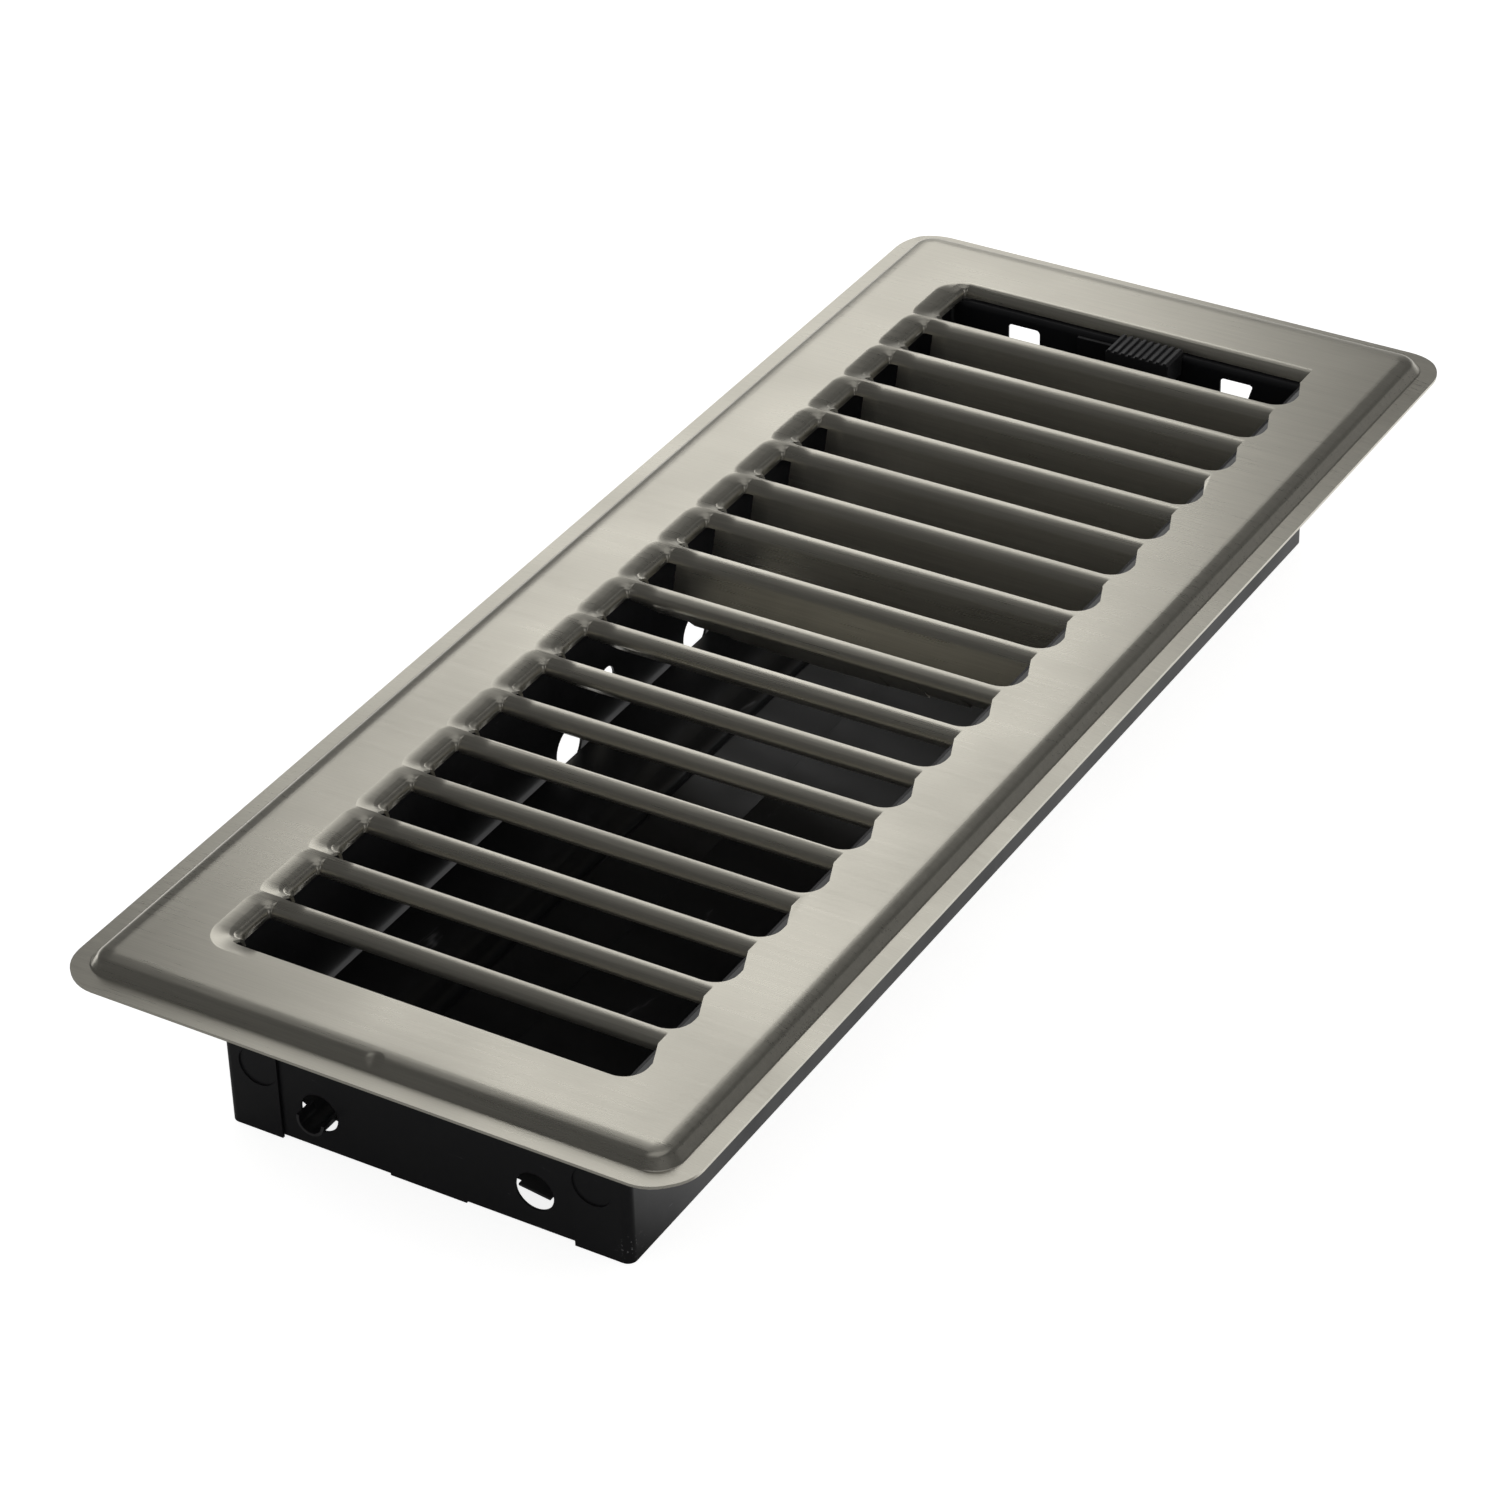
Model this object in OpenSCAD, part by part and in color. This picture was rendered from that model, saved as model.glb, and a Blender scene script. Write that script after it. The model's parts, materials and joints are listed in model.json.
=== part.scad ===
// Louvered steel floor register with a damper box below the faceplate.
// X runs across the width, Y along the length, Z up. The origin is under the middle of the
// outer edge, on the surface that the damper box stands on.

/* [Faceplate] */
// Width over the outer edge
plate_w = 139.7; // [137:0.1:150]
// Length over the outer edge
plate_l = 342.9; // [340:0.1:352]
// Radius of the outer corners
plate_corner_r = 10; // [9.5:0.1:13]
// Thickness of the faceplate's sheet
face_t = 0.65; // [0.5:0.05:0.8]
// Width of the flat rim that lies on the floor
rim_w = 3.75; // [3:0.05:4.2]
// Height of the raised panel over the rim
panel_rise = 3.1; // [2.9:0.05:3.6]
// Slope of the bevel between rim and panel, in degrees
bevel_angle = 54; // [48:1:58]
// Radius of the hollow at the foot of the bevel
bevel_foot_r = 0.8; // [0.7:0.1:1.1]
// Radius of the crest at the top of the bevel
bevel_crest_r = 1.8; // [1.4:0.1:2.2]
// Radius of the panel's soft fall to the crest
soft_r = 13; // [9:0.5:14]
// Turn of the panel's soft fall, in degrees
soft_turn = 12; // [8:1:13]

/* [Louvers] */
// Distance from one opening to the next
slot_pitch = 16.39; // [16.2:0.01:16.45]
// Extra distance between the two halves
half_gap = 0.5; // [0.1:0.1:0.8]
// From the plate's near edge to the first opening, before the openings are centred
near_margin = 22.05; // [21.55:0.1:23.05]
// From the plate's far edge to the last opening, before the openings are centred
far_margin = 22.52; // [22.02:0.1:23.02]
// How many bars, from the near end, have fins that lean to the far end
back_count = 8; // [6:1:10]
// How far the openings pass the box's right wall
slot_pass = 1.6; // [1:0.1:2.5]
// Radius of each opening's near right corner
slot_corner_r = 5; // [4.4:0.1:5.4]
// Straight stretch of each opening's right side
slot_side_l = 1.5; // [0.5:0.1:2.5]
// Length of the wider stretch at each opening's right end
relief_l = 12.2; // [11.6:0.1:12.8]
// Gap between the louvers' right ends and the box's right wall
louver_gap = 0.1; // [0.05:0.05:0.3]
// Length of the last opening, up to its rolled lip
last_l = 19.2; // [19:0.1:19.6]
// Middle radius of the rolled lip
lip_r = 2.3; // [2:0.1:2.4]

/* [Fins] */
// Flat stretch at each bar's cut edge
bar_flat = 0.4; // [0.3:0.05:0.8]
// Middle radius of the crown that each bar starts with
crown_r = 4; // [3.5:0.1:4.5]
// Turn of the crown, in degrees
crown_turn = 30; // [25:1:35]
// Middle radius of the tight fold on the bars of the near half
back_fold_r = 1.4; // [1.2:0.05:1.6]
// Whole turn of the near half's fins, in degrees
back_turn = 140; // [128:1:142]
// Straight length of the near half's fins
back_fin_l = 11; // [9:0.1:11.4]
// Straight length of the fin between the halves
middle_fin_l = 9.6; // [8.6:0.1:11]
// How much less the fin between the halves is turned at its middle, in degrees
middle_bulge = 10; // [6:1:12]
// Steps in which that fin is bowed
middle_steps = 9; // [7:2:15]
// Middle radius of the fold on the bars of the far half
front_fold_r = 2.5; // [2:0.1:2.8]
// Whole turn of the far half's fins, in degrees
front_turn = 74; // [66:1:80]
// Straight length of the far half's fins
front_fin_l = 10.4; // [9:0.1:11]

/* [Rolled left edges] */
// Middle radius of the soft start of the rolled edge at each opening's left end
roll_soft_r = 4; // [3:0.1:4.2]
// Turn of the soft start, in degrees
roll_soft_turn = 24; // [18:1:26]
// Middle radius of the rolled edge below its soft start
roll_r = 1.1; // [0.9:0.05:1.3]
// Whole turn of the rolled edge, in degrees
roll_turn = 80; // [70:1:90]
// Straight stretch below the roll
roll_drop = 1.1; // [0.6:0.1:1.3]
// Plan radius of the rolled edge at the near left corner
roll_near_r = 5.2; // [4.6:0.1:5.6]
// Sweep of the rolled edge round the near left corner, in degrees
roll_near_sweep = 66; // [45:1:75]
// Plan radius of the rolled edge at the far left corner
roll_far_r = 3.2; // [3.2:0.1:3.6]
// Gap between the far left corner and the next opening
roll_gap = 0.9; // [0.7:0.1:1.4]

/* [Damper box] */
// Width over the side walls
box_w = 92.6; // [92.2:0.1:95]
// How far the box's near end lies before the first opening
near_cover = 1.4; // [1.1:0.1:2]
// How far the box's far end lies inside the last opening's lip
far_cover = 3.43; // [3.33:0.05:3.63]
// Depth of the box below the rim's top face
box_depth = 40.3; // [39.8:0.1:46]
// Thickness of the box's sheet
box_t = 0.6; // [0.5:0.05:0.7]
// Width of the tabs that wrap round the corners
wrap_w = 12.6; // [11:0.1:14]
// Outer radius of the box's upright corners
wrap_r = 2; // [1.5:0.1:2.4]
// Middle radius of the folds in the end plates
foot_r = 1; // [0.7:0.1:1.05]
// Width of the end plates' feet under the panel
foot_w = 6; // [4:0.1:7]
// Length of the far end plate's leg under the rolled lip
leg_w = 5.4; // [5:0.1:6]
// Gap between the rolled lip and the far end plate's leg
leg_gap = 0.25; // [0.15:0.05:0.4]
// Gap between the wrapped tabs and the far end plate's leg
tab_gap = 0.2; // [0.15:0.05:0.6]
// Diameter of the clinches
clinch_d = 9; // [7:0.1:10]
// Depth of the clinches
clinch_depth = 0.35; // [0.2:0.05:0.45]
// Distance of the clinches from the middle
clinch_x = 38.2; // [38.1:0.1:39]
// Height of the clinches over the box's lower edge
clinch_z = 16; // [13:0.1:20]
// How far the end plates' lower edges stand back from the box's
step_rise = 0.5; // [0.3:0.1:0.8]
// Width of the tongue in the end plates' lower edges
step_w = 17.6; // [12:0.1:24]

/* [Side wall holes] */
// Diameter of the two round holes
side_hole_d = 10; // [8:0.1:11]
// Distance of the two round holes from the middle
side_hole_y = 26; // [23:0.1:30]
// Height of the two round holes
side_hole_z = 14; // [12:0.1:16]
// Diameter of the small upper hole
upper_hole_d = 6; // [5:0.1:7]
// Place of the small upper hole along the wall, from the middle
upper_hole_y = -10.2; // [-12:0.1:-9]
// Height of the small upper hole
upper_hole_z = 22.3; // [21:0.1:24]

/* [Far plate windows] */
// Width of the windows
window_w = 8.2; // [7:0.1:9]
// Height of the windows
window_h = 6.6; // [5:0.1:7.2]
// Middle of the left window from the middle of the plate
left_window_x = -26.2; // [-28:0.1:-25]
// Middle of the right window from the middle of the plate
right_window_x = 28.7; // [28.2:0.1:30]
// Top of the windows below the rim's top face
window_drop = 2.5; // [2.4:0.1:3.2]
// Corner radius of the windows
window_r = 1; // [0.6:0.1:1.4]
// How far the right window's outer side slants
window_slant = 2; // [1:0.1:2.5]

/* [Damper blades] */
// Distance of the blade axes from the middle
axis_x = 24.7; // [24.4:0.1:25]
// Height of the blade axes
axis_z = 9.1; // [8.8:0.1:9.6]
// Diameter of the bearing holes
bearing_d = 8.6; // [8.2:0.1:9]
// Thickness of the blades' sheet
blade_t = 0.6; // [0.5:0.05:0.65]
// Gap between the blades and the side walls
blade_side_gap = 0.7; // [0.5:0.1:1]
// Gap between the blades and the near end plate
blade_near_gap = 0.8; // [0.5:0.1:1.5]
// Overlap of the closed blades
blade_overlap = 2; // [1:0.1:3]
// Turn of the blades from closed in the modelled pose, in degrees
blade_rest_turn = 8; // [4:0.5:10]
// Whole turn of the blades from closed to open, in degrees
blade_full_turn = 48; // [44:1:50]
// Outer width of the trough along the left blade's axis, and of its lugs
lug_w = 6.4; // [5.8:0.1:6.6]
// Height of the lugs' upright sides over the axis
lug_side = 0.5; // [0.3:0.1:0.8]
// How far the left blade's lugs pass the end plates
lug_out = 3.2; // [2:0.1:4]
// Depth of the trough below the left blade's wing
trough_depth = 3; // [2.9:0.05:3.1]
// How far the right side of the left blade lies below its wing
blade_offset = 1; // [0.95:0.05:1.15]
// Slope of the trough's left side, in degrees
trough_left_slope = 45; // [40:1:46]
// Slope of the trough's right side, in degrees
trough_right_slope = 60; // [54:1:62]
// Middle radius of the soft bend between wing and trough
wing_bend_r = 6; // [4:0.1:6.6]
// Middle radius of the sharp bend right of the trough
edge_r = 0.6; // [0.4:0.05:0.65]
// Width of the flat tongues in the right blade's bearings
tongue_w = 7.2; // [6:0.1:7.4]

/* [Crank and lever] */
// Radius from the blade axis to the crank pin
crank_r = 14; // [13:0.1:14.6]
// Width of the crank tabs
crank_w = 7; // [6:0.1:8]
// Diameter of the crank pins
pin_d = 2.6; // [2.2:0.1:3]
// Clearance at each side of a pin in its slot
pin_gap = 0.4; // [0.35:0.05:0.5]
// Thickness of the lever's steel
lever_t = 1; // [0.9:0.05:1.1]
// Gap between the lever and the far end plate
lever_gap = 0.35; // [0.3:0.05:0.5]
// Gap between the lever and the crank tabs
crank_gap = 1; // [0.8:0.1:1.4]
// Lower edge of the lever
lever_z0 = 17.5; // [16.8:0.1:18]
// Top edge of the lever's long strip
lever_z1 = 28.5; // [28.2:0.1:29.5]
// How far the lever's strip passes the crank slots
lever_end = 6; // [4:0.1:7]
// Top of the lever's raised middle below the rim's top face
riser_drop = 0.6; // [0.4:0.1:1]
// From the lever's left shoulder to the middle of the knob
riser_left = 19; // [17:0.1:20]
// From the middle of the knob to the lever's right shoulder
riser_right = 7; // [6.5:0.1:8]
// Width of the tongue that the knob sits on
riser_tongue_w = 11; // [9:0.1:12]
// Middle of the knob in the modelled pose
knob_x = 7.4; // [6.8:0.1:8]
// Distance of the left hook from the middle of the knob
hook_left = 12; // [10:0.1:13]
// Distance of the right hook from the middle of the knob
hook_right = 4; // [3:0.1:4.6]
// Height of the hooks' passage through the far end plate
hook_z = 26.6; // [26.4:0.1:27]
// Width of the hooks
hook_w = 4; // [3:0.1:4.4]
// How far the hooks turn down behind the far end plate
hook_drop = 2.5; // [2:0.1:3.5]
// Clearance of the hooks in their slot, above, below and at its ends
hook_gap = 0.3; // [0.3:0.05:0.5]

/* [Thumb knob] */
// Width of the knob
knob_w = 16; // [14.6:0.1:17]
// Length of the knob
knob_l = 8.4; // [7.4:0.1:8.8]
// Height of the knob
knob_h = 6; // [5.4:0.1:6.4]
// How far the knob's top lies below the panel's top
knob_below = 0.3; // [0.1:0.1:0.8]
// Wall of the knob
knob_wall = 1.5; // [1.2:0.1:1.7]
// Height of the arch in the knob's front
knob_arch = 2; // [1:0.1:2.6]
// Ribs on the knob
rib_count = 9; // [7:1:10]
// Height of the ribs
rib_h = 0.5; // [0.3:0.05:0.7]
// Share of the rib pitch that each rib fills
rib_share = 0.55; // [0.4:0.05:0.7]

/* [Hidden] */

steel = [0.66, 0.64, 0.58];
black = [0.1, 0.1, 0.11];
plastic = [0.07, 0.07, 0.08];
arc_fn = 96;
arc_step = 15;
roll_step = 28;
crest_step = 11;
soft_step = 4;
overrun = 1;
join = 0.6;

panel_top = box_depth + panel_rise;
panel_under = panel_top - face_t;
face_mid = panel_top - face_t / 2;

// The openings fill the panel's length and are centred on it
louver_l = plate_l - near_margin - far_margin;
slot_count = round((louver_l - last_l - half_gap) / slot_pitch) + 1;
field_l = (slot_count - 1) * slot_pitch + half_gap + last_l;
slot_start = (near_margin - far_margin - field_l) / 2;
lip_y = slot_start + field_l;

// The box's place, and what the openings take from it
box_near = slot_start - near_cover;
box_far = lip_y - far_cover;
box_l = box_far - box_near;
box_y = (box_near + box_far) / 2;
side_x = box_w / 2;
slot_left = box_t - side_x;
slot_right = side_x + slot_pass;
louver_right = side_x - box_t - louver_gap;
end_near = box_near + box_t;
end_far = box_far - box_t;
end_half = side_x - wrap_r;
foot_z = panel_under - box_t / 2;
leg_z = face_mid - lip_r - leg_gap - box_t / 2;
tab_top = leg_z - box_t / 2 - tab_gap;

// The bevel between its radii
foot_rise = bevel_foot_r * (1 - cos(bevel_angle));
crest_rise = bevel_crest_r * (cos(soft_turn) - cos(bevel_angle));
soft_rise = soft_r * (1 - cos(soft_turn));
bevel_straight = (panel_rise - foot_rise - crest_rise - soft_rise) / sin(bevel_angle);
border_w = rim_w + bevel_foot_r * sin(bevel_angle) + bevel_straight * cos(bevel_angle)
    + bevel_crest_r * (sin(bevel_angle) - sin(soft_turn)) + soft_r * sin(soft_turn);

// The left blade's section, from its wing down to the trough and up to its flat side
lug_r = (lug_w - blade_t) / 2;
wing_r = wing_bend_r + lug_r;
left_rise = (trough_depth - wing_r * (1 - cos(trough_left_slope))) / sin(trough_left_slope);
right_r = edge_r + lug_r;
right_rise = (trough_depth - blade_offset - right_r * (1 - cos(trough_right_slope)))
    / sin(trough_right_slope);
wing_l = side_x - box_t - blade_side_gap - axis_x;
inner_l = axis_x + blade_overlap / 2;

// The lever's place and travel
lever_y1 = end_far - box_t - lever_gap;
lever_y0 = lever_y1 - lever_t;
blade_y0 = end_near + box_t + blade_near_gap;
blade_y1 = lever_y0 - crank_gap;
half_turn = blade_full_turn / 2;
half_travel = crank_r * sin(half_turn);
rest_shift = half_travel * (blade_rest_turn - half_turn) / half_turn;
close_travel = half_travel + rest_shift;
open_travel = half_travel - rest_shift;
knob_top = panel_top - knob_below - rib_h;
knob_floor = panel_top - knob_below - knob_h;

// A sheet's section is traced as stations, each a point and a heading. A step is a chord and a turn.
function bend(r, turn, step = arc_step) =
    let (n = ceil(abs(turn) / step))
    [for (i = [1:n]) [2 * r * sin(abs(turn) / (2 * n)), turn / n]];
function straight(len) = [[len, 0]];
function trace(steps, p, a, i = 0) =
    i == len(steps) ? [[p.x, p.y, a]]
    : concat([[p.x, p.y, a]],
             trace(steps, p + steps[i][0] * [cos(a + steps[i][1] / 2), sin(a + steps[i][1] / 2)],
                   a + steps[i][1], i + 1));
function side_of(stations, t) = [for (s = stations) [s.x - t * sin(s.z), s.y + t * cos(s.z)]];
function flip(points) = [for (i = [len(points) - 1:-1:0]) points[i]];
function sheet_outline(stations, t) =
    concat(side_of(stations, t / 2), flip(side_of(stations, -t / 2)));

module sheet_section(steps, t, p, a) {
    polygon(sheet_outline(trace(steps, p, a), t));
}

module rounded_rect(w, l, r) {
    for (x = [-1, 1], y = [-1, 1])
        translate([x * (w / 2 - r), y * (l / 2 - r)]) circle(r = r, $fn = arc_fn);
    square([w - 2 * r, l], center = true);
    square([w, l - 2 * r], center = true);
}

// Runs a section of distance along Y and height from x0 to x1
module along_x(x0, x1) {
    translate([x0, 0, 0]) rotate([90, 0, 90]) linear_extrude(x1 - x0) children();
}

// Runs a section of distance along X and height from y0 to y1
module along_y(y0, y1) {
    translate([0, y1, 0]) rotate([90, 0, 0]) linear_extrude(y1 - y0) children();
}

// The border's section: distance in from the outer edge, and height
module border_section() {
    sheet_section(concat(straight(rim_w), bend(bevel_foot_r, bevel_angle),
                         straight(bevel_straight),
                         bend(bevel_crest_r, soft_turn - bevel_angle, crest_step),
                         bend(soft_r, -soft_turn, soft_step),
                         straight(plate_corner_r - border_w)),
                  face_t, [0, box_depth - face_t / 2], 0);
}

module border() {
    straight_w = plate_w / 2 - plate_corner_r;
    straight_l = plate_l / 2 - plate_corner_r;
    for (side = [0, 1]) mirror([side, 0, 0]) {
        along_y(-straight_l, straight_l) translate([-plate_w / 2, 0]) border_section();
        for (end = [0, 1]) mirror([0, end, 0])
            translate([-straight_w, -straight_l, 0]) rotate([0, 0, 180])
                rotate_extrude(angle = 90, $fn = arc_fn)
                    translate([plate_corner_r, 0]) mirror([1, 0]) border_section();
    }
    for (end = [0, 1]) mirror([0, end, 0])
        along_x(-straight_w, straight_w) translate([-plate_l / 2, 0]) border_section();
}

// Each opening has its near edge on slot_y(i), its length in reach_of(i), and a strip of panel
// left at its far left corner in gap_of(i)
function slot_y(i) = slot_start + i * slot_pitch + (i > back_count ? half_gap : 0);
function reach_of(i) = i == slot_count - 1 ? last_l : slot_y(i + 1) - slot_y(i);
function gap_of(i) = i == slot_count - 1 ? 0 : roll_gap;
near_left = [slot_left + roll_near_r, roll_near_r];
function far_left(i) = [slot_left + roll_far_r, reach_of(i) - gap_of(i) - roll_far_r];

module opening_plan(i) {
    far = far_left(i);
    corner = [slot_right - slot_corner_r, slot_corner_r];
    translate([near_left.x, 0]) square([corner.x - near_left.x, reach_of(i)]);
    translate([slot_left, near_left.y]) square([roll_near_r, far.y - near_left.y]);
    translate([far.x, near_left.y]) square([roll_near_r, far.y + roll_far_r - near_left.y]);
    translate(near_left) circle(r = roll_near_r, $fn = arc_fn);
    translate(far) circle(r = roll_far_r, $fn = arc_fn);
    translate(corner) circle(r = slot_corner_r, $fn = arc_fn);
    polygon([corner, [slot_right, corner.y], [slot_right, corner.y + slot_side_l],
             [louver_right, relief_l], [louver_right, reach_of(i)], [corner.x, reach_of(i)]]);
}

// The rolled edge's section: distance into the opening, and height
module roll_section() {
    sheet_section(concat(straight(join), bend(roll_soft_r, -roll_soft_turn, roll_step),
                         bend(roll_r, roll_soft_turn - roll_turn, roll_step), straight(roll_drop)),
                  face_t, [-join, face_mid], 0);
}

module rolled_edge(i) {
    far = far_left(i);
    along_y(near_left.y, far.y) translate([slot_left, 0]) roll_section();
    translate([near_left.x, near_left.y, 0]) rotate([0, 0, 180])
        rotate_extrude(angle = roll_near_sweep, $fn = arc_fn)
            translate([roll_near_r, 0]) mirror([1, 0]) roll_section();
    translate([far.x, far.y, 0]) rotate([0, 0, 90])
        rotate_extrude(angle = 90, $fn = arc_fn)
            translate([roll_far_r, 0]) mirror([1, 0]) roll_section();
}

crown = concat(straight(bar_flat), bend(crown_r, crown_turn));
bar_left = slot_left + roll_far_r;

// A fin from x0 to x1, drawn from the bar's cut edge on y = 0 towards the near end
module fin(fold_r, turn, fin_l, x0, x1) {
    along_x(x0, x1)
        sheet_section(concat(crown, bend(fold_r, turn - crown_turn), straight(fin_l)),
                      face_t, [0, face_mid], 180);
}

// The bar that a fin hangs from, with its crown let into the panel at both ends
module bar(fold_r, turn) {
    along_x(bar_left - join, louver_right + join) sheet_section(crown, face_t, [0, face_mid], 180);
    along_x(bar_left, near_left.x)
        sheet_section(concat(crown, bend(fold_r, turn - crown_turn)), face_t, [0, face_mid], 180);
}

module back_bar() {
    bar(back_fold_r, back_turn);
    fin(back_fold_r, back_turn, back_fin_l, near_left.x, louver_right);
}

module front_bar() {
    bar(front_fold_r, front_turn);
    fin(front_fold_r, front_turn, front_fin_l, near_left.x, louver_right);
}

// The fin between the halves is bowed towards the near end at its middle
module middle_bar() {
    bar(back_fold_r, back_turn);
    step = (louver_right - near_left.x) / middle_steps;
    for (k = [0:middle_steps - 1]) {
        u = (2 * k + 1) / middle_steps - 1;
        fin(back_fold_r, back_turn - middle_bulge * (1 - u * u), middle_fin_l,
            near_left.x + k * step, near_left.x + (k + 1) * step);
    }
}

module far_lip() {
    translate([0, lip_y, 0])
        along_x(bar_left, louver_right)
            sheet_section(concat(straight(join), bend(lip_r, 90)), face_t, [join, face_mid], 180);
}

module faceplate() {
    color(steel) {
        border();
        translate([0, 0, panel_under]) linear_extrude(face_t) difference() {
            rounded_rect(plate_w - 2 * border_w, plate_l - 2 * border_w,
                         plate_corner_r - border_w);
            for (i = [0:slot_count - 1]) translate([0, slot_y(i)]) opening_plan(i);
        }
        for (i = [0:slot_count - 1]) translate([0, slot_y(i), 0]) {
            rolled_edge(i);
            if (i > 0 && i <= back_count) back_bar();
            if (i == back_count + 1) middle_bar();
            if (i > back_count + 1) front_bar();
        }
        far_lip();
    }
}

// A clinch presses a round of sheet through, from depth y0 to y1
module clinch(y0, y1) {
    for (side = [-1, 1]) translate([side * clinch_x, 0, clinch_z])
        along_y(y0, y1) circle(d = clinch_d, $fn = arc_fn);
}

module side_wall() {
    difference() {
        union() {
            translate([0, box_y, 0]) linear_extrude(tab_top) intersection() {
                difference() {
                    rounded_rect(box_w, box_l, wrap_r);
                    rounded_rect(box_w - 2 * box_t, box_l - 2 * box_t, wrap_r - box_t);
                }
                translate([-side_x, -box_l / 2]) square([wrap_w, box_l]);
            }
            translate([-side_x, box_near + wrap_r, 0]) cube([box_t, box_l - 2 * wrap_r, panel_under]);
            intersection() {
                union() {
                    clinch(end_near - join, end_near + clinch_depth);
                    clinch(end_far - clinch_depth, end_far + join);
                }
                translate([-side_x, box_near, 0]) cube([wrap_w, box_l, tab_top]);
            }
        }
        clinch(box_near - overrun, box_near + clinch_depth);
        clinch(box_far - clinch_depth, box_far + overrun);
        for (side = [-1, 1])
            translate([-side_x - overrun, side * side_hole_y, side_hole_z]) rotate([0, 90, 0])
                cylinder(d = side_hole_d, h = box_t + 2 * overrun, $fn = arc_fn);
        translate([-side_x - overrun, upper_hole_y, upper_hole_z]) rotate([0, 90, 0])
            cylinder(d = upper_hole_d, h = box_t + 2 * overrun, $fn = arc_fn);
    }
}

module left_wall() {
    color(black) side_wall();
}

module right_wall() {
    color(black) mirror([1, 0, 0]) side_wall();
}

// An end plate's upright sheet from y0, as high as top, with its bearing holes
module end_sheet(y0, top) {
    difference() {
        along_y(y0, y0 + box_t) {
            translate([-end_half, step_rise]) square([2 * end_half, top - step_rise]);
            translate([-step_w / 2, 0]) square([step_w, top]);
        }
        for (side = [-1, 1]) translate([side * axis_x, 0, axis_z])
            along_y(y0 - overrun, y0 + box_t + overrun) circle(d = bearing_d, $fn = arc_fn);
    }
}

module near_end_plate() {
    color(black) difference() {
        union() {
            end_sheet(end_near, foot_z - foot_r);
            along_x(-end_half, end_half)
                sheet_section(concat(straight(join), bend(foot_r, 90), straight(foot_w)), box_t,
                              [end_near + box_t / 2, foot_z - foot_r - join], 90);
            clinch(end_near + box_t - join, end_near + box_t + clinch_depth);
        }
        clinch(end_near - overrun, end_near + clinch_depth);
    }
}

module window() {
    translate([0, box_depth - window_drop - window_h / 2]) rounded_rect(window_w, window_h, window_r);
}

module far_end_plate() {
    y0 = end_far - box_t;
    slot_x0 = knob_x - hook_left - hook_w / 2 - close_travel - hook_gap;
    slot_x1 = knob_x + hook_right + hook_w / 2 + open_travel + hook_gap;
    slot_h = lever_t + 2 * hook_gap;
    color(black) difference() {
        union() {
            end_sheet(y0, leg_z - foot_r);
            along_x(-end_half, end_half)
                sheet_section(concat(straight(join), bend(foot_r, -90), straight(leg_w),
                                     bend(foot_r, 90), straight(foot_z - leg_z - 2 * foot_r),
                                     bend(foot_r, -90), straight(foot_w)), box_t,
                              [y0 + box_t / 2, leg_z - foot_r - join], 90);
            clinch(y0 - clinch_depth, y0 + join);
        }
        clinch(end_far - clinch_depth, end_far + overrun);
        along_y(y0 - overrun, end_far + overrun) {
            translate([left_window_x, 0]) window();
            difference() {
                translate([right_window_x, 0]) window();
                translate([right_window_x + window_w / 2, box_depth - window_drop - window_h])
                    polygon([[-window_slant, 0], [overrun, 0], [overrun, window_h], [0, window_h]]);
            }
            translate([slot_x0, hook_z - slot_h / 2]) square([slot_x1 - slot_x0, slot_h]);
        }
    }
}

// The crank tab with its pin, in the blade's own plane
module crank_plan() {
    rotate(half_turn) {
        translate([-crank_w / 2, 0]) square([crank_w, crank_r]);
        translate([0, crank_r]) circle(d = crank_w, $fn = arc_fn);
    }
}

module crank_pin() {
    along_y(blade_y1 - blade_t / 2, lever_y1)
        rotate(half_turn) translate([0, crank_r]) circle(d = pin_d, $fn = arc_fn);
}

module on_axis(side) {
    translate([side * axis_x, 0, axis_z]) rotate([0, blade_rest_turn, 0]) children();
}

module left_blade() {
    steps = concat(
        straight(wing_l - wing_r * sin(trough_left_slope) - left_rise * cos(trough_left_slope)),
        bend(wing_bend_r, -trough_left_slope), straight(left_rise),
        bend(lug_r, trough_left_slope + trough_right_slope), straight(right_rise),
        bend(edge_r, -trough_right_slope),
        straight(inner_l - right_r * sin(trough_right_slope) - right_rise * cos(trough_right_slope)));
    lug = concat(straight(lug_side), bend(lug_r, 180), straight(lug_side));
    color(black) on_axis(-1) {
        along_y(blade_y0, blade_y1)
            sheet_section(steps, blade_t, [-wing_l, trough_depth - lug_r], 0);
        along_y(end_near - lug_out, blade_y0 + join)
            sheet_section(lug, blade_t, [-lug_r, lug_side], -90);
        along_y(blade_y1 - join, end_far + lug_out)
            sheet_section(lug, blade_t, [-lug_r, lug_side], -90);
        along_y(blade_y1 - blade_t, blade_y1) {
            crank_plan();
            circle(r = lug_r, $fn = arc_fn);
        }
        crank_pin();
    }
}

module right_blade() {
    color(black) on_axis(1) {
        translate([-inner_l, blade_y0, -blade_t / 2])
            cube([inner_l + wing_l, blade_y1 - blade_y0, blade_t]);
        translate([-tongue_w / 2, end_near, -blade_t / 2])
            cube([tongue_w, end_far - end_near, blade_t]);
        along_y(blade_y1 - blade_t, blade_y1) intersection() {
            union() {
                crank_plan();
                circle(d = crank_w, $fn = arc_fn);
            }
            translate([-crank_r, -blade_t / 2]) square([2 * crank_r, 2 * crank_r]);
        }
        crank_pin();
    }
}

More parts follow.
